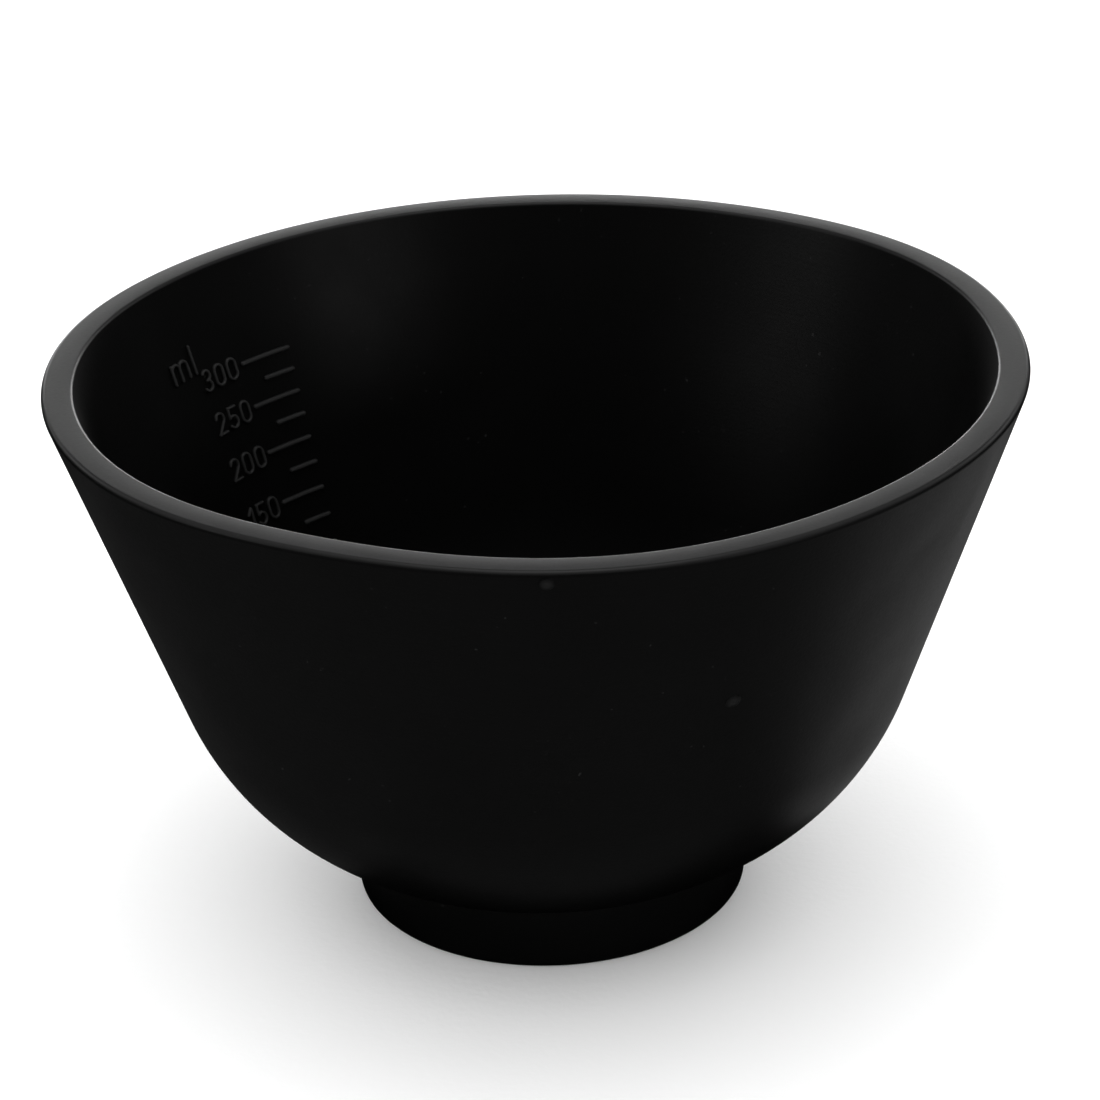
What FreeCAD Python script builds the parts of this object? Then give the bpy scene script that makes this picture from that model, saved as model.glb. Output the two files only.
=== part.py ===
"""A flexible rubber mixing bowl for hair colour, with a raised measuring scale inside.

The frame is +Z up, with its origin at the centre of the foot's resting face.
All lengths are in millimetres and all angles in degrees.
"""
import FreeCAD
import Part
import math
import os

# Driving dimensions of the bowl
RIM_DIAMETER = 123.0       # outside, where the wall's slope would meet the flat top
HEIGHT = 73.5              # resting face to rim
WALL_LEAN = 18.7           # outer cone, from the vertical
SHOULDER_HEIGHT = 31.2     # where the outer cone ends and the round of the lower wall begins
SHOULDER_ROUND = 36.0      # radius of that round, outside
FLOOR_THICKNESS = 3.0
RIM_WIDTH = 4.1            # across the flat top
RIM_BAND_HEIGHT = 3.0
RIM_OUTER_EDGE = 0.6       # edge radii of the rim
RIM_INNER_EDGE = 0.5
FOOT_TOP_RADIUS = 26.2
FOOT_BASE_RADIUS = 25.6
FOOT_WIDTH = 3.6           # thickness of the foot ring at its base
FOOT_DRAFT = 0.3           # the ring's inner wall leans in by this much over its height
FOOT_OUTER_EDGE = 1.0
FOOT_INNER_EDGE = 0.8

# Driving dimensions of the scale, which is moulded on the inner wall
SCALE_STEP = 25            # millilitres from one mark to the next
SCALE_FIRST = 50
SCALE_LAST = 300
LABEL_STEP = 50            # millilitres from one long, numbered mark to the next
MARKS_END = 129.5          # azimuth of the end that long and short marks share
LONG_MARK = 9.5            # arc of a long mark
SHORT_MARK = 6.0
MARK_BREADTH = 0.8
RELIEF = 0.45              # how far marks and characters stand proud of the wall
NUMERAL_AZIMUTH = 143.6    # middle of a number
UNIT_AZIMUTH = 150.4       # middle of the unit above the numbers
UNIT_HEIGHT = 63.0
STROKE = 0.55              # breadth of a character's line
DIGIT_WIDTH = 1.55         # of a character's centre line
DIGIT_HEIGHT = 2.8
LETTER_SCALE = 1.35        # size of the unit's letters against the digits
CHARACTER_GAP = 0.95       # between the centre lines of neighbouring characters
CUT_DEPTH = 3.0            # of the blocks that characters are cut from, deeper than the relief

RIM_RADIUS = RIM_DIAMETER / 2
LEAN = math.radians(WALL_LEAN)
BAND_BASE = HEIGHT - RIM_BAND_HEIGHT

# Centre of the round that the lower wall follows inside and outside, tangent to the outer cone
SHOULDER_RADIUS = RIM_RADIUS - (HEIGHT - SHOULDER_HEIGHT) * math.tan(LEAN)
ROUND_R = SHOULDER_RADIUS - SHOULDER_ROUND * math.cos(LEAN)
ROUND_Z = SHOULDER_HEIGHT + SHOULDER_ROUND * math.sin(LEAN)
INNER_ROUND = SHOULDER_ROUND - FLOOR_THICKNESS

# The inner cone runs from the rim's inner edge to a tangent on the inner round
INNER_RIM = RIM_RADIUS - RIM_WIDTH
RIM_DISTANCE = math.hypot(INNER_RIM - ROUND_R, HEIGHT - ROUND_Z)
RIM_BEARING = math.atan2(HEIGHT - ROUND_Z, INNER_RIM - ROUND_R)
INNER_TANGENT = RIM_BEARING - math.acos(INNER_ROUND / RIM_DISTANCE)
INNER_LEAN = -INNER_TANGENT
INNER_SHOULDER = ROUND_Z + INNER_ROUND * math.sin(INNER_TANGENT)

# Bearings, seen from the round's centre, of the foot's top edge and of the lowest point
FOOT_BEARING = -math.acos((FOOT_TOP_RADIUS - ROUND_R) / SHOULDER_ROUND)
LOWEST_BEARING = -math.pi / 2

AXIS_POINT = FreeCAD.Vector(0, 0, 0)
AXIS = FreeCAD.Vector(0, 0, 1)


def at(radius, height):
    """A point of a section, in the plane that is turned about the bowl's axis."""
    return FreeCAD.Vector(radius, 0, height)


def on_round(radius, bearing):
    """A point on a round about the shoulder's centre."""
    return at(ROUND_R + radius * math.cos(bearing), ROUND_Z + radius * math.sin(bearing))


def round_arc(radius, start, end):
    """The part of such a round between two bearings."""
    middle = (start + end) / 2
    arc = Part.Arc(on_round(radius, start), on_round(radius, middle), on_round(radius, end))
    return arc.toShape()


def outer_radius(height):
    """Radius of the bowl's outer cone at a height."""
    return RIM_RADIUS - (HEIGHT - height) * math.tan(LEAN)


def inner_radius(height):
    """Radius of the bowl's inside at a height."""
    if height > INNER_SHOULDER:
        return INNER_RIM - (HEIGHT - height) * math.tan(INNER_LEAN)
    return ROUND_R + math.sqrt(INNER_ROUND ** 2 - (ROUND_Z - height) ** 2)


def line(start, end):
    return Part.LineSegment(start, end).toShape()


def corner(before, point, after, radius):
    """The edge that rounds a corner between two straight runs, and its two ends."""
    back = (before - point).normalize()
    ahead = (after - point).normalize()
    half_angle = back.getAngle(ahead) / 2
    start = point + back * (radius / math.tan(half_angle))
    end = point + ahead * (radius / math.tan(half_angle))
    inward = (back + ahead).normalize()
    middle = point + inward * (radius / math.sin(half_angle) - radius)
    return Part.Arc(start, middle, end).toShape(), start, end


def turned(edges):
    """The solid that a closed section sweeps in a full turn about the bowl's axis."""
    section = Part.Face(Part.Wire(Part.__sortEdges__(edges)))
    solid = section.revolve(AXIS_POINT, AXIS, 360)
    if solid.Volume < 0:
        solid.reverse()
    return solid


def rim_band():
    """The thick, flat-topped band at the mouth, with rounded edges."""
    base_inside = at(inner_radius(BAND_BASE), BAND_BASE)
    base_outside = at(outer_radius(BAND_BASE), BAND_BASE)
    top_outside = at(RIM_RADIUS, HEIGHT)
    top_inside = at(INNER_RIM, HEIGHT)
    outer_edge, outer_start, outer_end = corner(base_outside, top_outside, top_inside, RIM_OUTER_EDGE)
    inner_edge, inner_start, inner_end = corner(top_outside, top_inside, base_inside, RIM_INNER_EDGE)
    return turned([line(base_inside, base_outside), line(base_outside, outer_start), outer_edge,
                   line(outer_end, inner_start), inner_edge, line(inner_end, base_inside)])


def upper_wall():
    """The straight flared wall, from the rim band down to the shoulder."""
    top_inside = at(inner_radius(BAND_BASE), BAND_BASE)
    top_outside = at(outer_radius(BAND_BASE), BAND_BASE)
    return turned([line(top_inside, top_outside), line(top_outside, on_round(SHOULDER_ROUND, -LEAN)),
                   line(on_round(SHOULDER_ROUND, -LEAN), on_round(INNER_ROUND, -LEAN)),
                   round_arc(INNER_ROUND, -LEAN, INNER_TANGENT),
                   line(on_round(INNER_ROUND, INNER_TANGENT), top_inside)])


def lower_wall():
    """The round shoulder, down to the foot's top edge."""
    return turned([round_arc(SHOULDER_ROUND, -LEAN, FOOT_BEARING),
                   line(on_round(SHOULDER_ROUND, FOOT_BEARING), on_round(INNER_ROUND, FOOT_BEARING)),
                   round_arc(INNER_ROUND, FOOT_BEARING, -LEAN),
                   line(on_round(INNER_ROUND, -LEAN), on_round(SHOULDER_ROUND, -LEAN))])


def bowl_floor():
    """The dished bottom inside the foot's top edge, flat at its middle."""
    floor_top = ROUND_Z - INNER_ROUND
    floor_base = ROUND_Z - SHOULDER_ROUND
    return turned([line(at(0, floor_base), at(ROUND_R, floor_base)),
                   round_arc(SHOULDER_ROUND, LOWEST_BEARING, FOOT_BEARING),
                   line(on_round(SHOULDER_ROUND, FOOT_BEARING), on_round(INNER_ROUND, FOOT_BEARING)),
                   round_arc(INNER_ROUND, FOOT_BEARING, LOWEST_BEARING),
                   line(at(ROUND_R, floor_top), at(0, floor_top)),
                   line(at(0, floor_top), at(0, floor_base))])


def foot_ring():
    """The ring that the bowl stands on, open underneath and closed by the dished bottom."""
    top_outside = on_round(SHOULDER_ROUND, FOOT_BEARING)
    base_outside = at(FOOT_BASE_RADIUS, 0)
    base_inside = at(FOOT_BASE_RADIUS - FOOT_WIDTH, 0)
    inner_bearing = -math.acos((base_inside.x - FOOT_DRAFT - ROUND_R) / SHOULDER_ROUND)
    top_inside = on_round(SHOULDER_ROUND, inner_bearing)
    outer_edge, outer_start, outer_end = corner(top_outside, base_outside, base_inside, FOOT_OUTER_EDGE)
    inner_edge, inner_start, inner_end = corner(base_outside, base_inside, top_inside, FOOT_INNER_EDGE)
    return turned([line(top_outside, outer_start), outer_edge, line(outer_end, inner_start),
                   inner_edge, line(inner_end, top_inside),
                   round_arc(SHOULDER_ROUND, inner_bearing, FOOT_BEARING)])


def capacity(height):
    """Millilitres that the bowl holds when it is filled to a height."""
    slices = 400
    floor_top = ROUND_Z - INNER_ROUND
    thickness = (height - floor_top) / slices
    middles = [floor_top + (i + 0.5) * thickness for i in range(slices)]
    return sum(math.pi * inner_radius(z) ** 2 * thickness for z in middles) / 1000


def fill_height(millilitres):
    """The height that a volume fills the bowl to, found by halving the range."""
    low = ROUND_Z - INNER_ROUND
    high = HEIGHT
    while high - low > 0.001:
        middle = (low + high) / 2
        if capacity(middle) < millilitres:
            low = middle
        else:
            high = middle
    return middle


def relief_layer():
    """The layer, as deep as the relief, that lies on the inner wall where the scale is."""
    proud_round = INNER_ROUND - RELIEF
    top_wall = at(inner_radius(BAND_BASE), BAND_BASE)
    top_proud = top_wall + at(-math.cos(INNER_LEAN), math.sin(INNER_LEAN)) * RELIEF
    return turned([round_arc(INNER_ROUND, FOOT_BEARING, INNER_TANGENT),
                   line(on_round(INNER_ROUND, INNER_TANGENT), top_wall), line(top_wall, top_proud),
                   line(top_proud, on_round(proud_round, INNER_TANGENT)),
                   round_arc(proud_round, INNER_TANGENT, FOOT_BEARING),
                   line(on_round(proud_round, FOOT_BEARING), on_round(INNER_ROUND, FOOT_BEARING))])


def mark(layer, height, arc):
    """One raised line of the scale, along a level circle of the wall."""
    slab = Part.makeCylinder(RIM_RADIUS, MARK_BREADTH, FreeCAD.Vector(0, 0, height - MARK_BREADTH / 2),
                             AXIS, arc)
    slab.rotate(AXIS_POINT, AXIS, MARKS_END)
    return layer.common(slab)


def dot(x, y):
    """The round end of a character's line."""
    return Part.makeCylinder(STROKE / 2, CUT_DEPTH, FreeCAD.Vector(x, y, -CUT_DEPTH / 2), AXIS)


def straight(x0, y0, x1, y1):
    """A straight line of a character, with round ends."""
    length = math.hypot(x1 - x0, y1 - y0)
    bar = Part.makeBox(length, STROKE, CUT_DEPTH, FreeCAD.Vector(0, -STROKE / 2, -CUT_DEPTH / 2))
    bar.rotate(AXIS_POINT, AXIS, math.degrees(math.atan2(y1 - y0, x1 - x0)))
    bar.translate(FreeCAD.Vector(x0, y0, 0))
    return [bar, dot(x0, y0), dot(x1, y1)]


def curved(x, y, radius, start, end):
    """A curved line of a character about a centre, anticlockwise between two angles."""
    base = FreeCAD.Vector(0, 0, -CUT_DEPTH / 2)
    disc = Part.makeCylinder(radius + STROKE / 2, CUT_DEPTH, base, AXIS, end - start)
    bow = disc.cut(Part.makeCylinder(radius - STROKE / 2, CUT_DEPTH, base, AXIS))
    bow.rotate(AXIS_POINT, AXIS, start)
    bow.translate(FreeCAD.Vector(x, y, 0))
    ends = [dot(x + radius * math.cos(math.radians(angle)), y + radius * math.sin(math.radians(angle)))
            for angle in (start, end)]
    return [bow] + ends


def character(sign, width, height):
    """The lines of one character, and how wide it is."""
    half = width / 2
    quarter = height / 4
    if sign == "0":
        lines = curved(half, height - half, half, 0, 180) + curved(half, half, half, 180, 360)
        lines += straight(0, half, 0, height - half) + straight(width, half, width, height - half)
    elif sign == "1":
        lines = straight(half, 0, half, height) + straight(half, height, 0, height - half)
        return lines, half
    elif sign == "2":
        turn = math.radians(-35)
        lines = curved(half, height - half, half, -35, 170) + straight(0, 0, width, 0)
        lines += straight(0, 0, half + half * math.cos(turn), height - half + half * math.sin(turn))
    elif sign == "3":
        lines = curved(half, height - quarter, quarter, -90, 150)
        lines += curved(half, quarter, quarter, -150, 90)
    elif sign == "5":
        bowl = 0.29 * height
        turn = math.radians(130)
        joint_x = width - bowl + bowl * math.cos(turn)
        joint_y = bowl + bowl * math.sin(turn)
        lines = curved(width - bowl, bowl, bowl, -145, 130)
        lines += straight(joint_x, joint_y, joint_x, height) + straight(joint_x, height, width, height)
    elif sign == "m":
        arch = 0.22 * height
        lines = straight(0, 0, 0, 3 * arch)
        for left in (0, 2 * arch):
            lines += curved(left + arch, 2 * arch, arch, 0, 180)
            lines += straight(left + 2 * arch, 0, left + 2 * arch, 2 * arch)
        return lines, 4 * arch
    else:
        return straight(0, 0, 0, height), 0
    return lines, width


def lettering(layer, text, azimuth, height, scale=1.0):
    """A short text in relief on the inner wall, centred at an azimuth and a height."""
    pen = 0
    blocks = []
    for sign in text:
        lines, width = character(sign, DIGIT_WIDTH * scale, DIGIT_HEIGHT * scale)
        block = lines[0].fuse(lines[1:]).removeSplitter()
        block.translate(FreeCAD.Vector(pen, 0, 0))
        blocks.append(block)
        pen += width + CHARACTER_GAP * scale
    text_width = pen - CHARACTER_GAP * scale
    turn = math.radians(azimuth)
    lean = INNER_LEAN
    if height < INNER_SHOULDER:
        lean = math.asin((ROUND_Z - height) / INNER_ROUND)
    right = FreeCAD.Vector(math.sin(turn), -math.cos(turn), 0)
    out = FreeCAD.Vector(-math.cos(turn) * math.cos(lean), -math.sin(turn) * math.cos(lean),
                         math.sin(lean))
    up = out.cross(right)
    wall_radius = inner_radius(height)
    middle = FreeCAD.Vector(wall_radius * math.cos(turn), wall_radius * math.sin(turn), height)
    start = middle - right * (text_width / 2) - up * (DIGIT_HEIGHT * scale / 2)
    place = FreeCAD.Matrix(right.x, up.x, out.x, start.x, right.y, up.y, out.y, start.y,
                           right.z, up.z, out.z, start.z, 0, 0, 0, 1)
    return [layer.common(block.transformGeometry(place)) for block in blocks]


def solids_of(shapes):
    """One compound that holds every solid of a list of shapes."""
    return Part.makeCompound([solid for shape in shapes for solid in shape.Solids])


def scale_nodes():
    """The scale's four groups: long marks, short marks, numbers and the unit."""
    layer = relief_layer()
    amounts = range(SCALE_FIRST, SCALE_LAST + 1, SCALE_STEP)
    numbered = [amount for amount in amounts if amount % LABEL_STEP == 0]
    between = [amount for amount in amounts if amount % LABEL_STEP != 0]
    numbers = []
    for amount in numbered:
        numbers += lettering(layer, str(amount), NUMERAL_AZIMUTH, fill_height(amount))
    return {
        "scale_long_marks": solids_of([mark(layer, fill_height(a), LONG_MARK) for a in numbered]),
        "scale_short_marks": solids_of([mark(layer, fill_height(a), SHORT_MARK) for a in between]),
        "scale_numerals": solids_of(numbers),
        "scale_unit_label": solids_of(lettering(layer, "ml", UNIT_AZIMUTH, UNIT_HEIGHT, LETTER_SCALE)),
    }


def main():
    nodes = {
        "rim_band": rim_band(),
        "upper_wall": upper_wall(),
        "lower_wall": lower_wall(),
        "bowl_floor": bowl_floor(),
        "foot_ring": foot_ring(),
    }
    nodes.update(scale_nodes())
    os.makedirs("parts", exist_ok=True)
    for name, shape in nodes.items():
        shape.exportStep("parts/" + name + ".step")
        box = shape.BoundBox
        print(name, "solids", len(shape.Solids), "valid", shape.isValid(),
              "volume", round(shape.Volume, 2), "z", round(box.ZMin, 2), round(box.ZMax, 2))
    print("brimful capacity, ml:", round(capacity(HEIGHT), 1))


main()
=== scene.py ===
"""The looks of a black rubber hair color bowl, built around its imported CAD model. Lengths are in metres."""
import bmesh
import bpy
import math
from mathutils import Matrix, Vector


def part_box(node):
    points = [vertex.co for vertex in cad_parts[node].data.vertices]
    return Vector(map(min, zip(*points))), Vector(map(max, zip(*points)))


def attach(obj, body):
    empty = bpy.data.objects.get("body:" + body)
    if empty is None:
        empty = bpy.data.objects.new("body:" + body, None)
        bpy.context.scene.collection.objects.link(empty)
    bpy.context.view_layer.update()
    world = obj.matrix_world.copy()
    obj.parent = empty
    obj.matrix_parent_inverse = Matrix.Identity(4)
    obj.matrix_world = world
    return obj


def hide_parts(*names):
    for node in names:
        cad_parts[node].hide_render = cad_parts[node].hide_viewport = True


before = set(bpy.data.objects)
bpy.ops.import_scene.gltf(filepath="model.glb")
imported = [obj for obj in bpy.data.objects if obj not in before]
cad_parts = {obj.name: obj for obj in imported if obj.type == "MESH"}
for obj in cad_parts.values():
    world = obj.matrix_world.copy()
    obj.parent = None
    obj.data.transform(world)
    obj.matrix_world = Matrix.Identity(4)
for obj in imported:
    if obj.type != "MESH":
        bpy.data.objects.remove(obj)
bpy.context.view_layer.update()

MM = 0.001
BODY = "root"
BOWL_SLOT = "black_rubber"
SCALE_SLOT = "scale_relief"

# The bowl's section. What the frame's boxes don't give is named here.
WALL_LEAN = math.radians(18.7)
SHOULDER_ROUND = 36.0 * MM
FLOOR_THICKNESS = 3.0 * MM
RIM_WIDTH = 4.1 * MM
RIM_OUTER_EDGE = 0.6 * MM
RIM_INNER_EDGE = 0.5 * MM
RIM_CROWN = 0.06 * MM             # how far the mouth's top rises between its edges
FOOT_WIDTH = 3.6 * MM
FOOT_TAPER = 0.6 * MM             # the foot's outside draws in by this much over its height
FOOT_DRAFT = 0.3 * MM
FOOT_OUTER_EDGE = 1.0 * MM
FOOT_INNER_EDGE = 0.8 * MM
FOOT_FILLET = 0.7 * MM            # where the foot runs into the round shoulder
SEGMENTS = 360                    # of a full turn
SHARP_ANGLE = math.radians(38)    # faces that meet at more than this keep a sharp edge
END_STEP = 0.15                   # length of a round's first and last step against the others

# The scale on the inner wall. The heights of its marks come from the frame.
LABEL_STEP = 50                   # millilitres from one numbered mark to the next
MARK_BREADTH = 0.8 * MM
RELIEF = 0.45 * MM
SINK = 0.15 * MM                  # how far the raised lines reach into the wall
STROKE = 0.55 * MM
LINE_FACETS = 8                   # across a raised line's half-round section
END_ANGLES = (85, 70, 50, 30, 12)     # where a raised line's round end is cut, from its tip
CURVE_STEPS = 14                  # along a character's curve
MARK_STEPS = 12                   # along a mark
DIGIT_WIDTH = 1.55 * MM
DIGIT_HEIGHT = 2.8 * MM
CHARACTER_GAP = 0.95 * MM
LETTER_SCALE = 1.35
NUMERAL_AZIMUTH = math.radians(143.6)
UNIT_AZIMUTH = math.radians(150.4)
UNIT_HEIGHT = 63.0 * MM

# Where the soft mouth has settled out of round: azimuth in degrees, outward push, and half breadth in degrees
SAGS = ((32, 1.15 * MM, 24), (165, 0.45 * MM, 20), (-77, 1.2 * MM, 22), (-117, -1.2 * MM, 20))

# Small pips that the mould has left on the outer wall: azimuth in degrees, height and radius
PIPS = ((-89.6, 71.9 * MM, 0.9 * MM), (-67, 50.6 * MM, 1.0 * MM))
PIP_RISE = 0.15 * MM
# Painted highlight: each pip's middle is painted paler for the light its dome catches
PIP_CORE = 0.3                    # of a pip's radius, within which its painted highlight is full
PIP_HIGHLIGHT_GREY = 0.02
PIP_HIGHLIGHT_SHARE = 0.3                   # how much of the painted highlight's grey a pip takes on at its middle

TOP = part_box("rim_band")[1].z
BAND_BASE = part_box("rim_band")[0].z
SHOULDER_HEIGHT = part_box("upper_wall")[0].z
SHOULDER_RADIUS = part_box("lower_wall")[1].x
FLOOR_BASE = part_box("bowl_floor")[0].z
FOOT_TOP_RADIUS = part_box("foot_ring")[1].x

ROUND_R = SHOULDER_RADIUS - SHOULDER_ROUND * math.cos(WALL_LEAN)
ROUND_Z = FLOOR_BASE + SHOULDER_ROUND
INNER_ROUND = SHOULDER_ROUND - FLOOR_THICKNESS
RIM_RADIUS = SHOULDER_RADIUS + (TOP - SHOULDER_HEIGHT) * math.tan(WALL_LEAN)
INNER_RIM = RIM_RADIUS - RIM_WIDTH
RIM_DISTANCE = math.hypot(INNER_RIM - ROUND_R, TOP - ROUND_Z)
RIM_BEARING = math.atan2(TOP - ROUND_Z, INNER_RIM - ROUND_R)
INNER_TANGENT = RIM_BEARING - math.acos(INNER_ROUND / RIM_DISTANCE)
INNER_LEAN = -INNER_TANGENT
INNER_SHOULDER = ROUND_Z + INNER_ROUND * math.sin(INNER_TANGENT)
FOOT_BEARING = -math.acos((FOOT_TOP_RADIUS - ROUND_R) / SHOULDER_ROUND)
LOWEST_BEARING = -math.pi / 2


def outer_radius(height):
    """Radius of the outer cone at a height."""
    return RIM_RADIUS - (TOP - height) * math.tan(WALL_LEAN)


def inner_radius(height):
    """Radius of the bowl's inside at a height."""
    if height > INNER_SHOULDER:
        return INNER_RIM - (TOP - height) * math.tan(INNER_LEAN)
    return ROUND_R + math.sqrt(INNER_ROUND ** 2 - (ROUND_Z - height) ** 2)


def inner_lean(height):
    """How far the inside leans from the vertical at a height."""
    if height > INNER_SHOULDER:
        return INNER_LEAN
    return math.asin((ROUND_Z - height) / INNER_ROUND)


def smooth(value):
    """An even rise from 0 to 1, level at both ends."""
    value = min(max(value, 0.0), 1.0)
    return value * value * (3 - 2 * value)


def settled(x, y, z):
    """Where a point of the true bowl lies once the soft mouth has settled slightly out of round."""
    radius = math.hypot(x, y)
    if radius == 0:
        return Vector((x, y, z))
    push = 0.0
    for azimuth, depth, breadth in SAGS:
        away = math.remainder(math.degrees(math.atan2(y, x)) - azimuth, 360)
        push += depth * math.exp(-(away / breadth) ** 2)
    stretch = 1 + push * smooth((z - FLOOR_BASE) / (TOP - FLOOR_BASE)) / radius
    return Vector((x * stretch, y * stretch, z))


# ---------------------------------------------------------------- outlines: lists of (radius, height)

def run(start, end, steps):
    """Points from start up to, but not including, end."""
    return [(start[0] + (end[0] - start[0]) * i / steps, start[1] + (end[1] - start[1]) * i / steps)
            for i in range(steps)]


def between(start, end, steps):
    """Points between start and end, with neither of them."""
    return run(start, end, steps)[1:]


def arc(centre, radius, start, end, steps):
    """Points on a round between two bearings, both included, with a short step at each end."""
    shares = [0, END_STEP] + list(range(1, steps)) + [steps - END_STEP, steps]
    bearings = [start + (end - start) * share / steps for share in shares]
    return [(centre[0] + radius * math.cos(b), centre[1] + radius * math.sin(b)) for b in bearings]


def shoulder_point(radius, bearing):
    """A point on a round about the shoulder's centre."""
    return ROUND_R + radius * math.cos(bearing), ROUND_Z + radius * math.sin(bearing)


def shoulder(radius, start, end, steps):
    """The part of such a round between two bearings."""
    return arc((ROUND_R, ROUND_Z), radius, start, end, steps)


def rounded(before, point, after, radius, steps=8):
    """The points of an arc that rounds a corner."""
    corner = Vector(point)
    back = (Vector(before) - corner).normalized()
    ahead = (Vector(after) - corner).normalized()
    half = back.angle(ahead) / 2
    centre = corner + (back + ahead).normalized() * (radius / math.sin(half))
    reach = radius / math.tan(half)
    start = corner + back * reach - centre
    end = corner + ahead * reach - centre
    first = math.atan2(start.y, start.x)
    turn = math.remainder(math.atan2(end.y, end.x) - first, math.tau)
    return arc(tuple(centre), radius, first, first + turn, steps)


def crown(radius, inside, outside):
    """Height of the mouth's very slightly crowned top between its two edges."""
    share = (radius - inside) / (outside - inside)
    return TOP - RIM_CROWN * (2 * share - 1) ** 2


def rim_outline():
    """The band at the mouth, nearly flat on top, with rounded edges."""
    base_inside = (inner_radius(BAND_BASE), BAND_BASE)
    base_outside = (outer_radius(BAND_BASE), BAND_BASE)
    outside = (outer_radius(TOP - RIM_CROWN), TOP - RIM_CROWN)
    inside = (inner_radius(TOP - RIM_CROWN), TOP - RIM_CROWN)
    apex = ((outside[0] + inside[0]) / 2, TOP + RIM_CROWN)
    outer_edge = rounded(base_outside, outside, apex, RIM_OUTER_EDGE, 10)
    inner_edge = rounded(apex, inside, base_inside, RIM_INNER_EDGE, 8)
    top = [(radius, crown(radius, inside[0], outside[0]))
           for radius, _ in between(outer_edge[-1], inner_edge[0], 12)]
    return (run(base_inside, base_outside, 4) + run(base_outside, outer_edge[0], 4) + outer_edge + top
            + inner_edge + between(inner_edge[-1], base_inside, 6))


def upper_wall_outline():
    """The straight flared wall, with the inside's upper stretch of the shoulder's round."""
    top_inside = (inner_radius(BAND_BASE), BAND_BASE)
    top_outside = (outer_radius(BAND_BASE), BAND_BASE)
    low_outside = shoulder_point(SHOULDER_ROUND, -WALL_LEAN)
    low_inside = shoulder(INNER_ROUND, -WALL_LEAN, INNER_TANGENT, 2)
    return (run(top_inside, top_outside, 3) + run(top_outside, low_outside, 28)
            + run(low_outside, low_inside[0], 3) + low_inside + between(low_inside[-1], top_inside, 28))


def lower_wall_outline():
    """The round shoulder."""
    outside = shoulder(SHOULDER_ROUND, -WALL_LEAN, FOOT_BEARING, 28)
    inside = shoulder(INNER_ROUND, FOOT_BEARING, -WALL_LEAN, 28)
    return outside + between(outside[-1], inside[0], 3) + inside + between(inside[-1], outside[0], 3)


def floor_outline():
    """The dished bottom, from the axis out to the shoulder and back."""
    under = shoulder(SHOULDER_ROUND, LOWEST_BEARING, FOOT_BEARING, 16)
    inside = shoulder(INNER_ROUND, FOOT_BEARING, LOWEST_BEARING, 16)
    low = (0, under[0][1])
    high = (0, inside[-1][1])
    return (run(low, under[0], 6) + under + between(under[-1], inside[0], 3) + inside
            + between(inside[-1], high, 6) + [high])


def foot_fillet(base, top):
    """The small hollow round between the foot's outside and the shoulder, from the shoulder down."""
    up = (Vector(top) - Vector(base)).normalized()
    out = Vector((up.y, -up.x))
    middle = Vector((ROUND_R, ROUND_Z))
    along = Vector(base) + out * FOOT_FILLET - middle
    reach = SHOULDER_ROUND + FOOT_FILLET
    height = -along.dot(up) - math.sqrt(along.dot(up) ** 2 - along.length_squared + reach ** 2)
    centre = middle + along + up * height
    start = math.atan2(ROUND_Z - centre.y, ROUND_R - centre.x)
    end = math.atan2(-out.y, -out.x)
    turn = math.remainder(end - start, math.tau)
    bearing = math.atan2(centre.y - ROUND_Z, centre.x - ROUND_R)
    return arc(tuple(centre), FOOT_FILLET, start, start + turn, 8), bearing


def foot_outline():
    """The ring that the bowl stands on, closed above by the shoulder and the dished bottom."""
    top_outside = shoulder_point(SHOULDER_ROUND, FOOT_BEARING)
    base_outside = (FOOT_TOP_RADIUS - FOOT_TAPER, 0)
    base_inside = (base_outside[0] - FOOT_WIDTH, 0)
    inner_bearing = -math.acos((base_inside[0] - FOOT_DRAFT - ROUND_R) / SHOULDER_ROUND)
    fillet, fillet_bearing = foot_fillet(base_outside, top_outside)
    top = shoulder(SHOULDER_ROUND, inner_bearing, fillet_bearing, 8)
    outer_edge = rounded(top_outside, base_outside, base_inside, FOOT_OUTER_EDGE)
    inner_edge = rounded(base_outside, base_inside, top[0], FOOT_INNER_EDGE)
    return (fillet + between(fillet[-1], outer_edge[0], 8) + outer_edge
            + between(outer_edge[-1], inner_edge[0], 4) + inner_edge + between(inner_edge[-1], top[0], 4)
            + top[:-1])


# ---------------------------------------------------------------- meshes

def new_piece(name, bm, material, slot, *nodes):
    """Makes a mesh piece that stands for CAD nodes and rides on the bowl's one body."""
    bmesh.ops.recalc_face_normals(bm, faces=bm.faces)
    mesh = bpy.data.meshes.new(name)
    bm.to_mesh(mesh)
    bm.free()
    mesh.shade_smooth()
    mesh.set_sharp_from_angle(angle=SHARP_ANGLE)
    piece = bpy.data.objects.new(name, mesh)
    bpy.context.scene.collection.objects.link(piece)
    mesh.materials.append(material)
    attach(piece, BODY)
    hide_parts(*nodes)
    return piece


def pip_middle(azimuth, height):
    """Where a moulding pip sits on the settled outer wall."""
    turn, radius = math.radians(azimuth), outer_radius(height)
    return settled(radius * math.cos(turn), radius * math.sin(turn), height)


def with_pips(bm, low, high):
    """Adds the pips that lie between two heights: flat ellipsoids, half sunk into the outer wall."""
    for azimuth, height, size in PIPS:
        if not low < height < high:
            continue
        turn = math.radians(azimuth)
        normal = Vector((math.cos(turn), math.sin(turn), -math.tan(WALL_LEAN))).normalized()
        facing = normal.to_track_quat("Z", "Y").to_matrix().to_4x4()
        place = Matrix.Translation(pip_middle(azimuth, height)) @ facing
        place = place @ Matrix.Diagonal((size, size, PIP_RISE, 1))
        bmesh.ops.create_uvsphere(bm, u_segments=32, v_segments=16, radius=1, matrix=place)
    return bm


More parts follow.
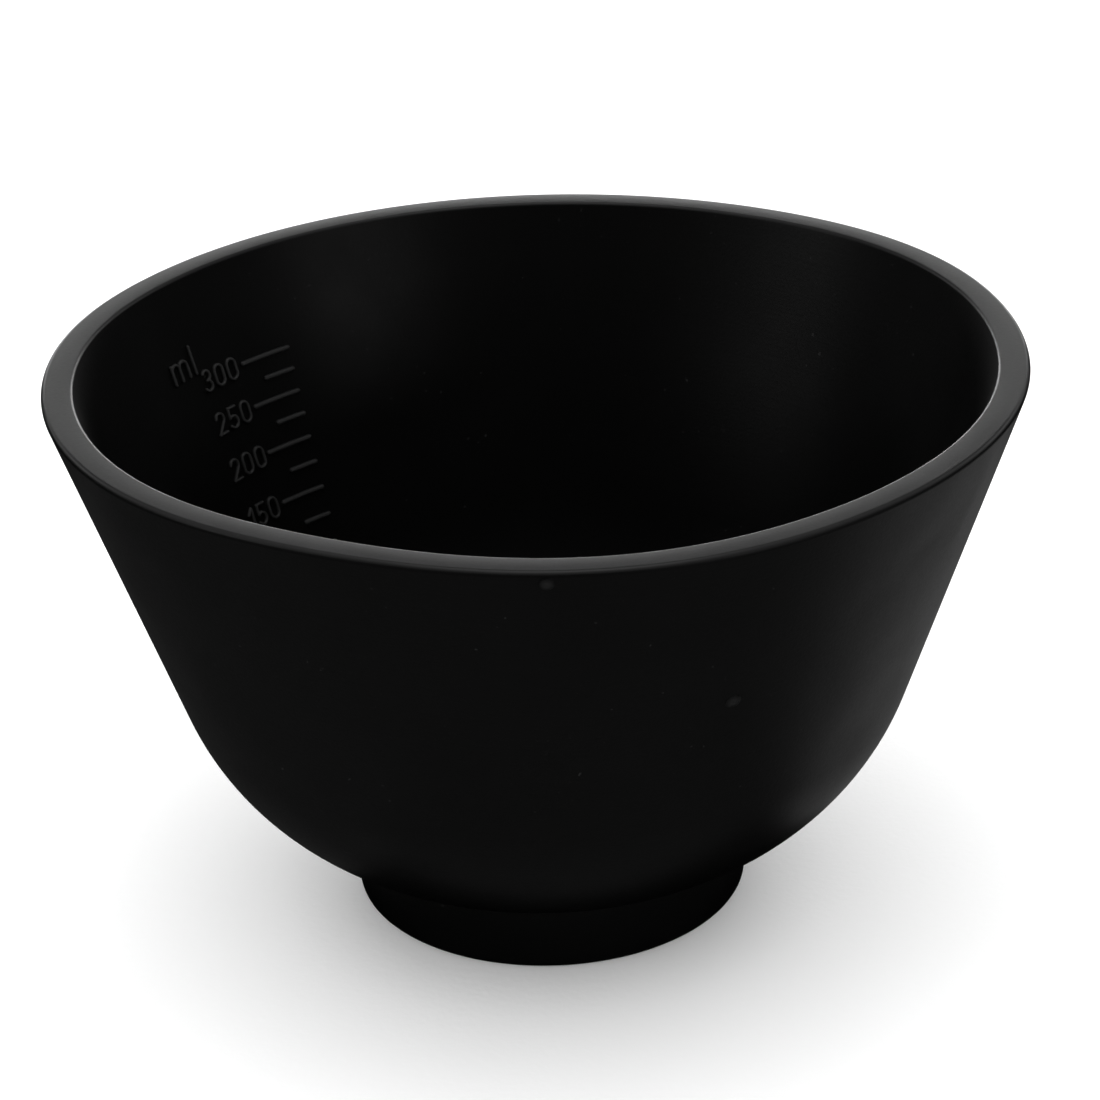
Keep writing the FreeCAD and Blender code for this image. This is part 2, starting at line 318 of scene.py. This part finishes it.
def lathe(outline):
    """A closed solid of revolution from a closed outline; points on the axis become poles."""
    bm = bmesh.new()
    rings = []
    for radius, height in outline:
        if radius == 0:
            rings.append([bm.verts.new((0, 0, height))])
            continue
        ring = []
        for i in range(SEGMENTS):
            turn = math.tau * i / SEGMENTS
            ring.append(bm.verts.new(settled(radius * math.cos(turn), radius * math.sin(turn), height)))
        rings.append(ring)
    for lower, upper in zip(rings, rings[1:] + rings[:1]):
        if len(lower) == 1 and len(upper) == 1:
            continue
        for i in range(SEGMENTS):
            j = (i + 1) % SEGMENTS
            if len(lower) == 1:
                bm.faces.new((lower[0], upper[j], upper[i]))
            elif len(upper) == 1:
                bm.faces.new((lower[i], lower[j], upper[0]))
            else:
                bm.faces.new((lower[i], lower[j], upper[j], upper[i]))
    return bm


# ---------------------------------------------------------------- the scale's raised lines

def on_wall(azimuth, height, right, up):
    """The point of the inner wall that lies right and up of a place on it, and the normal there."""
    height += up * math.cos(inner_lean(height))
    azimuth -= right / inner_radius(height)
    lean = inner_lean(height)
    outward = Vector((math.cos(azimuth), math.sin(azimuth), 0))
    point = outward * inner_radius(height) + Vector((0, 0, height))
    return point, Vector((0, 0, math.sin(lean))) - outward * math.cos(lean)


def stations(path, breadth, closed):
    """Points along a raised line, each with how full the section is there: it fades over round ends."""
    if closed:
        return [(Vector(point), 1.0) for point in path]
    first, last = Vector(path[0]), Vector(path[-1])
    back = (first - Vector(path[1])).normalized() * (breadth / 2)
    ahead = (last - Vector(path[-2])).normalized() * (breadth / 2)
    angles = [math.radians(a) for a in END_ANGLES]
    start = [(first + back * math.sin(a), math.cos(a)) for a in angles]
    end = [(last + ahead * math.sin(a), math.cos(a)) for a in reversed(angles)]
    return start + [(Vector(point), 1.0) for point in path] + end


def raised_line(bm, azimuth, height, path, breadth, closed=False):
    """A line in relief along a path on the inner wall, half round in section."""
    crest = bm.verts.layers.float.get("crest") or bm.verts.layers.float.new("crest")
    places = stations(path, breadth, closed)
    points = [on_wall(azimuth, height, place.x, place.y) for place, _ in places]
    rings = []
    for i, (point, normal) in enumerate(points):
        if closed:
            along = points[(i + 1) % len(points)][0] - points[i - 1][0]
        else:
            along = points[min(i + 1, len(points) - 1)][0] - points[max(i - 1, 0)][0]
        across = normal.cross(along).normalized()
        fullness = places[i][1]
        ring = []
        for k in range(LINE_FACETS + 1):
            turn = math.pi * k / LINE_FACETS
            side = across * (math.cos(turn) * breadth / 2 * fullness)
            rise = math.sin(turn) * RELIEF * fullness
            vertex = bm.verts.new(settled(*(point + side + normal * rise)))
            vertex[crest] = rise / RELIEF
            ring.append(vertex)
        for side in (-1, 1):
            foot = point + across * (side * breadth / 2 * fullness) - normal * SINK
            ring.append(bm.verts.new(settled(*foot)))
        rings.append(ring)
    pairs = list(zip(rings, rings[1:]))
    if closed:
        pairs.append((rings[-1], rings[0]))
    else:
        bm.faces.new(rings[0])
        bm.faces.new(rings[-1])
    for one, other in pairs:
        for i in range(len(one)):
            j = (i + 1) % len(one)
            bm.faces.new((one[i], one[j], other[j], other[i]))


def levels(node):
    """The middle heights of a node's level marks, from the lowest up."""
    heights = sorted(vertex.co.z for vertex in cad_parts[node].data.vertices)
    groups = [[heights[0]]]
    for height in heights[1:]:
        if height - groups[-1][-1] > 2 * MARK_BREADTH:
            groups.append([])
        groups[-1].append(height)
    return [(group[0] + group[-1]) / 2 for group in groups]


def marks(node):
    """All the level marks of a node, each from its one end to its other."""
    azimuths = [math.atan2(vertex.co.y, vertex.co.x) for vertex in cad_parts[node].data.vertices]
    middle = (min(azimuths) + max(azimuths)) / 2
    bm = bmesh.new()
    for height in levels(node):
        half = (max(azimuths) - min(azimuths)) / 2 * inner_radius(height) - MARK_BREADTH / 2
        path = [(-half + 2 * half * i / MARK_STEPS, 0) for i in range(MARK_STEPS + 1)]
        raised_line(bm, middle, height, path, MARK_BREADTH)
    return bm


def bow(x, y, radius, start, end):
    """Points of a curved line about a centre, anticlockwise between two angles in degrees."""
    turns = [math.radians(start + (end - start) * i / CURVE_STEPS) for i in range(CURVE_STEPS + 1)]
    return [(x + radius * math.cos(t), y + radius * math.sin(t)) for t in turns]


def character(sign, width, height):
    """The lines of one character, each with whether it is closed, and how wide the character is."""
    half = width / 2
    quarter = height / 4
    if sign == "0":
        ring = bow(half, height - half, half, 0, 180) + bow(half, half, half, 180, 360)
        return [(ring, True)], width
    if sign == "1":
        return [([(half, 0), (half, height)], False), ([(half, height), (0, height - half)], False)], half
    if sign == "2":
        head = bow(half, height - half, half, -35, 170)
        lines = [head, [(0, 0), head[0]], [(0, 0), (width, 0)]]
    elif sign == "3":
        lines = [bow(half, height - quarter, quarter, -90, 150), bow(half, quarter, quarter, -150, 90)]
    elif sign == "5":
        bowl = 0.29 * height
        belly = bow(width - bowl, bowl, bowl, -145, 130)
        corner = (belly[-1][0], height)
        lines = [belly, [belly[-1], corner], [corner, (width, height)]]
    elif sign == "m":
        arch = 0.22 * height
        lines = [[(0, 0), (0, 3 * arch)]]
        for left in (0, 2 * arch):
            lines.append([(left + 2 * arch, 0)] + bow(left + arch, 2 * arch, arch, 0, 180))
        width = 4 * arch
    else:
        lines = [[(0, 0), (0, height)]]
        width = 0
    return [(line, False) for line in lines], width


def lettering(bm, text, azimuth, height, scale=1.0):
    """A short text in relief on the inner wall, centred at an azimuth and a height."""
    characters = [character(sign, DIGIT_WIDTH * scale, DIGIT_HEIGHT * scale) for sign in text]
    gap = CHARACTER_GAP * scale
    pen = -(sum(width for _, width in characters) + gap * (len(text) - 1)) / 2
    base = -DIGIT_HEIGHT * scale / 2
    for lines, width in characters:
        for line, closed in lines:
            raised_line(bm, azimuth, height, [(x + pen, y + base) for x, y in line], STROKE, closed)
        pen += width + gap


def numerals():
    """The number beside each long mark."""
    bm = bmesh.new()
    for row, height in enumerate(levels("scale_long_marks")):
        lettering(bm, str(LABEL_STEP * (row + 1)), NUMERAL_AZIMUTH, height)
    return bm


def unit_label():
    """The unit above the numbers."""
    bm = bmesh.new()
    lettering(bm, "ml", UNIT_AZIMUTH, UNIT_HEIGHT, LETTER_SCALE)
    return bm


# ---------------------------------------------------------------- materials

# Greys of the black rubber and of its painted highlights, and scales of its patterns per metre
MOULDED_BLACK = 0.0014
RAISED_BLACK = 0.0018
# Painted highlight: the mouth's flat top is painted paler where light catches it
RIM_HIGHLIGHT_GREY = 0.013
# Painted highlight: the raised lines' crests are painted paler where they catch the light
CREST_HIGHLIGHT_GREY = 0.015
DUST_GREY = 0.03                  # over the black
DUST_COVER = 0.25                 # how much a speck of dust hides the black
DUST_START, DUST_FULL = 0.76, 0.8     # of its noise
RIM_HIGHLIGHT_START, RIM_HIGHLIGHT_FULL = 0.45 * MM, 0.1 * MM     # depths under the mouth, for the painted highlight on its top
CREST_HIGHLIGHT_START, CREST_HIGHLIGHT_FULL = 0.2, 0.9    # heights in the relief, for the painted highlight on its crests
RIM_POLISH = 0.11                 # how much smoother the rim's top is
PATCH_SCALE = 60.0
SMUDGE_SCALE = 90.0
DUST_SCALE = 1300.0
TURNED_SCALE = 1800.0             # across the turned lines
TURNED_DRIFT = 20.0               # along them
GRAIN_SCALE = 2400.0
BUMP_DEPTH = 0.015 * MM


def new_material(name):
    """A node material, with its tree and its shader."""
    material = bpy.data.materials.new(name)
    material.use_nodes = True
    tree = material.node_tree
    return material, tree, tree.nodes["Principled BSDF"]


def add(tree, kind, links=(), **values):
    """Adds a node; values are its settings or its inputs, and links join its inputs to other sockets."""
    node = tree.nodes.new(kind)
    for key, value in values.items():
        if hasattr(node, key):
            setattr(node, key, value)
        else:
            node.inputs[key.replace("_", " ").title()].default_value = value
    for socket, source in dict(links).items():
        tree.links.new(source, node.inputs[socket])
    return node


def math_node(tree, operation, first, second):
    """The result of a sum, product or the like of two sockets or numbers."""
    node = add(tree, "ShaderNodeMath", operation=operation)
    for socket, value in zip(node.inputs, (first, second)):
        if isinstance(value, (int, float)):
            socket.default_value = value
        else:
            tree.links.new(value, socket)
    return node.outputs[0]


def noise(tree, place, scale, detail=2.0, **values):
    """A soft random grey that varies over the surface, finer with a larger scale."""
    node = add(tree, "ShaderNodeTexNoise", {"Vector": place}, scale=scale, detail=detail, **values)
    return node.outputs["Fac"]


def ramp(tree, value, low, high, out_low=0.0, out_high=1.0):
    """A straight run from one value to another over a range, level outside it."""
    node = add(tree, "ShaderNodeMapRange", {"Value": value})
    node.inputs["From Min"].default_value = low
    node.inputs["From Max"].default_value = high
    node.inputs["To Min"].default_value = out_low
    node.inputs["To Max"].default_value = out_high
    return node.outputs["Result"]


def blend(tree, factor, one, other):
    """A mix of two colours, each a grey level or a socket."""
    node = add(tree, "ShaderNodeMix", {"Factor": factor}, data_type="RGBA")
    for socket, colour in ((node.inputs[6], one), (node.inputs[7], other)):
        if isinstance(colour, float):
            socket.default_value = (colour, colour, colour, 1)
        else:
            tree.links.new(colour, socket)
    return node.outputs[2]


def rim_top_highlight_mask(tree, place):
    """1 on the mouth's flat top, fading to 0 down its rounded edges: where its painted highlight goes."""
    height = add(tree, "ShaderNodeSeparateXYZ", {"Vector": place}).outputs["Z"]
    return ramp(tree, height, TOP - RIM_HIGHLIGHT_START, TOP - RIM_HIGHLIGHT_FULL)


def crest_highlight_mask(tree, place):
    """1 on the crests of the raised lines, 0 at their feet, as the mesh says: where the painted highlight
    goes; the place isn't needed.
    """
    crest = add(tree, "ShaderNodeAttribute", attribute_name="crest").outputs["Fac"]
    return ramp(tree, crest, CREST_HIGHLIGHT_START, CREST_HIGHLIGHT_FULL)


def pip(tree, place, azimuth, height, size):
    """1 at the middle of a small moulding pip on the outer wall, fading to 0 at its edge: where its painted
    highlight goes.
    """
    away = add(tree, "ShaderNodeVectorMath", {0: place}, operation="DISTANCE")
    away.inputs[1].default_value = pip_middle(azimuth, height)
    return ramp(tree, away.outputs["Value"], size, PIP_CORE * size)


def rubber(name, black, painted_highlight_and_polish=None, painted_highlight_grey=0.0, polish=0.0, roughness=0.45, specular=0.3):
    """Moulded black rubber with soft patches, turned lines, fine grain and dust; masked places get a painted
    highlight, a paler grey, and are also smoother with shallower bumps.
    """
    material, tree, shader = new_material(name)
    place = add(tree, "ShaderNodeTexCoord").outputs["Object"]
    split = add(tree, "ShaderNodeSeparateXYZ", {"Vector": place})
    flat = add(tree, "ShaderNodeVectorMath", {"Vector": place}, operation="MULTIPLY")
    flat.inputs[1].default_value = (1, 1, 0)
    radius = add(tree, "ShaderNodeVectorMath", {"Vector": flat.outputs["Vector"]}, operation="LENGTH")
    along = math_node(tree, "ADD", radius.outputs["Value"], split.outputs["Z"])
    turned_place = add(tree, "ShaderNodeCombineXYZ", {
        "Z": math_node(tree, "MULTIPLY", along, TURNED_SCALE),
        "X": math_node(tree, "MULTIPLY", split.outputs["X"], TURNED_DRIFT),
        "Y": math_node(tree, "MULTIPLY", split.outputs["Y"], TURNED_DRIFT)})
    patches = noise(tree, place, PATCH_SCALE, 5.0)
    smudges = noise(tree, place, SMUDGE_SCALE, 4.0, distortion=0.3)
    turned = noise(tree, turned_place.outputs["Vector"], 1.0, 2.0)
    grain = noise(tree, place, GRAIN_SCALE, 3.0)
    dust = ramp(tree, noise(tree, place, DUST_SCALE, 1.0), DUST_START, DUST_FULL, 0.0, DUST_COVER)

    colour = blend(tree, patches, black * 0.8, black * 1.3)
    rough = math_node(tree, "ADD", ramp(tree, smudges, 0.3, 0.7, roughness - 0.03, roughness + 0.03),
                      ramp(tree, grain, 0.3, 0.7, -0.02, 0.02))
    height = math_node(tree, "ADD", math_node(tree, "MULTIPLY", turned, 0.5), grain)
    if painted_highlight_and_polish:
        # Painted highlight: a paler grey over the masked places, which are also made smoother
        share = math_node(tree, "MULTIPLY", painted_highlight_and_polish(tree, place), ramp(tree, smudges, 0.3, 0.7, 0.85, 1.0))
        colour = blend(tree, share, colour, painted_highlight_grey)
        rough = math_node(tree, "SUBTRACT", rough, math_node(tree, "MULTIPLY", share, polish))
        height = math_node(tree, "MULTIPLY", height, ramp(tree, share, 0.0, 1.0, 1.0, 0.5))
    colour = blend(tree, dust, colour, black + DUST_GREY)
    # Each pip gets a painted highlight, a paler grey at its middle
    for azimuth, level, size in PIPS:
        share = math_node(tree, "MULTIPLY", pip(tree, place, azimuth, level, size), PIP_HIGHLIGHT_SHARE)
        colour = blend(tree, share, colour, PIP_HIGHLIGHT_GREY)
    tree.links.new(colour, shader.inputs["Base Color"])
    tree.links.new(rough, shader.inputs["Roughness"])
    bump = add(tree, "ShaderNodeBump", {"Height": height}, strength=1.0, distance=BUMP_DEPTH)
    tree.links.new(bump.outputs["Normal"], shader.inputs["Normal"])
    shader.inputs["Specular IOR Level"].default_value = specular
    return material


# ---------------------------------------------------------------- pieces

MOULDED = rubber("moulded_rubber", MOULDED_BLACK)
# The mouth's top gets a painted highlight
RIM = rubber("rim_rubber", MOULDED_BLACK, rim_top_highlight_mask, RIM_HIGHLIGHT_GREY, RIM_POLISH)
# The raised lines' crests get a painted highlight
RAISED = rubber("raised_rubber", RAISED_BLACK, crest_highlight_mask, CREST_HIGHLIGHT_GREY)

new_piece("rim_band_rubber", with_pips(lathe(rim_outline()), BAND_BASE, TOP), RIM, BOWL_SLOT, "rim_band")
new_piece("upper_wall_rubber", with_pips(lathe(upper_wall_outline()), SHOULDER_HEIGHT, BAND_BASE),
          MOULDED, BOWL_SLOT, "upper_wall")
new_piece("lower_wall_rubber", lathe(lower_wall_outline()), MOULDED, BOWL_SLOT, "lower_wall")
new_piece("floor_rubber", lathe(floor_outline()), MOULDED, BOWL_SLOT, "bowl_floor")
new_piece("foot_ring_rubber", lathe(foot_outline()), MOULDED, BOWL_SLOT, "foot_ring")
new_piece("raised_long_marks", marks("scale_long_marks"), RAISED, SCALE_SLOT, "scale_long_marks")
new_piece("raised_short_marks", marks("scale_short_marks"), RAISED, SCALE_SLOT, "scale_short_marks")
new_piece("raised_numerals", numerals(), RAISED, SCALE_SLOT, "scale_numerals")
new_piece("raised_unit_label", unit_label(), RAISED, SCALE_SLOT, "scale_unit_label")


# ---------------------------------------------------------------- floor, light and camera

FLOOR_HALF = 6.0
GLOW_HEIGHT = 1 * MM              # of the table's own light over the floor


def make_floor():
    """A wide, plain, pale floor at the foot's resting face, which isn't mirrored in the rubber."""
    bm = bmesh.new()
    bmesh.ops.create_grid(bm, x_segments=1, y_segments=1, size=FLOOR_HALF)
    mesh = bpy.data.meshes.new("floor")
    bm.to_mesh(mesh)
    bm.free()
    material, tree, shader = new_material("pale_floor")
    place = add(tree, "ShaderNodeTexCoord").outputs["Object"]
    colour = blend(tree, noise(tree, place, 6.0, 4.0), 0.84, 0.88)
    tree.links.new(colour, shader.inputs["Base Color"])
    grain = noise(tree, place, 900.0, 3.0)
    bump = add(tree, "ShaderNodeBump", {"Height": grain}, strength=0.3, distance=0.1 * MM)
    tree.links.new(bump.outputs["Normal"], shader.inputs["Normal"])
    shader.inputs["Roughness"].default_value = 0.8
    mesh.materials.append(material)
    floor = bpy.data.objects.new("floor", mesh)
    bpy.context.scene.collection.objects.link(floor)
    floor.visible_glossy = False


def area_light(name, width, depth, power, place, turn):
    """A rectangular lamp that the camera doesn't see."""
    data = bpy.data.lights.new(name, "AREA")
    data.shape = "RECTANGLE"
    data.size = width
    data.size_y = depth
    data.energy = power
    lamp = bpy.data.objects.new(name, data)
    lamp.location = place
    lamp.rotation_euler = turn
    lamp.visible_camera = False
    bpy.context.scene.collection.objects.link(lamp)


def soft_light(name, azimuth, elevation, distance, width, height, power):
    """A softbox that faces the bowl's middle from an azimuth and an elevation in degrees."""
    turn, rise = math.radians(azimuth), math.radians(elevation)
    towards = Vector((math.cos(turn) * math.cos(rise), math.sin(turn) * math.cos(rise), math.sin(rise)))
    middle = Vector((0, 0, TOP / 2))
    facing = towards.to_track_quat("Z", "Y").to_euler()
    area_light(name, width, height, power, middle + towards * distance, facing)


def table_glow(name, x, y, width, depth, power):
    """The light that the pale table throws back up at one side of the bowl."""
    area_light(name, width, depth, power, (x, y, GLOW_HEIGHT), (math.pi, 0, 0))


def make_world(strength):
    """White light from all around, which isn't mirrored in the rubber."""
    world = bpy.data.worlds.new("studio")
    bpy.context.scene.world = world
    world.use_nodes = True
    world.node_tree.nodes["Background"].inputs["Color"].default_value = (1, 1, 1, 1)
    world.node_tree.nodes["Background"].inputs["Strength"].default_value = strength
    world.cycles_visibility.glossy = False


CAMERA_DISTANCE = 0.4275           # from the middle of the mouth
CAMERA_ELEVATION = math.radians(22.124)
CAMERA_ROLL = math.radians(-1.899)
CAMERA_AIM = Vector((0.00106, 0, 0.0468))
LENS = 111.84


def make_camera():
    """The camera looks down at the bowl from the front, close and with a long lens, rolled slightly."""
    data = bpy.data.cameras.new("camera")
    data.lens = LENS
    data.sensor_width = 36
    data.clip_start = 0.01
    camera = bpy.data.objects.new("camera", data)
    camera.location = Vector((0, -math.cos(CAMERA_ELEVATION), math.sin(CAMERA_ELEVATION))) * CAMERA_DISTANCE
    camera.location.z += TOP
    look = (CAMERA_AIM - camera.location).to_track_quat("-Z", "Y").to_matrix()
    camera.rotation_euler = (look @ Matrix.Rotation(CAMERA_ROLL, 3, "Z")).to_euler()
    bpy.context.scene.collection.objects.link(camera)
    bpy.context.scene.camera = camera


make_floor()
make_world(1.6)
# Softboxes: azimuth and elevation, distance, width, height, watts
soft_light("backdrop_softbox", 90, 7, 1.6, 1.35, 0.24, 6.9)
soft_light("back_right_softbox", 40, 22, 1.6, 0.8, 0.4, 1.0)
soft_light("back_left_softbox", 140, 22, 1.6, 0.8, 0.4, 1.0)
soft_light("overhead_softbox", 90, 88, 1.2, 0.8, 0.8, 2.0)
soft_light("front_right_softbox", -41, 11, 1.2, 0.4, 0.2, 0.62)
soft_light("front_left_softbox", -162, 22, 1.2, 0.25, 0.35, 0.65)
# Light off the table: x and y of its middle, width, depth, watts
table_glow("right_glow", 0.1285, 0.0375, 0.173, 0.125, 0.021)
table_glow("left_glow", -0.115, 0.03, 0.17, 0.14, 0.0046)
table_glow("front_glow", 0, -0.14, 0.5, 0.21, 0.022)
make_camera()
bpy.context.scene.view_settings.view_transform = "Standard"
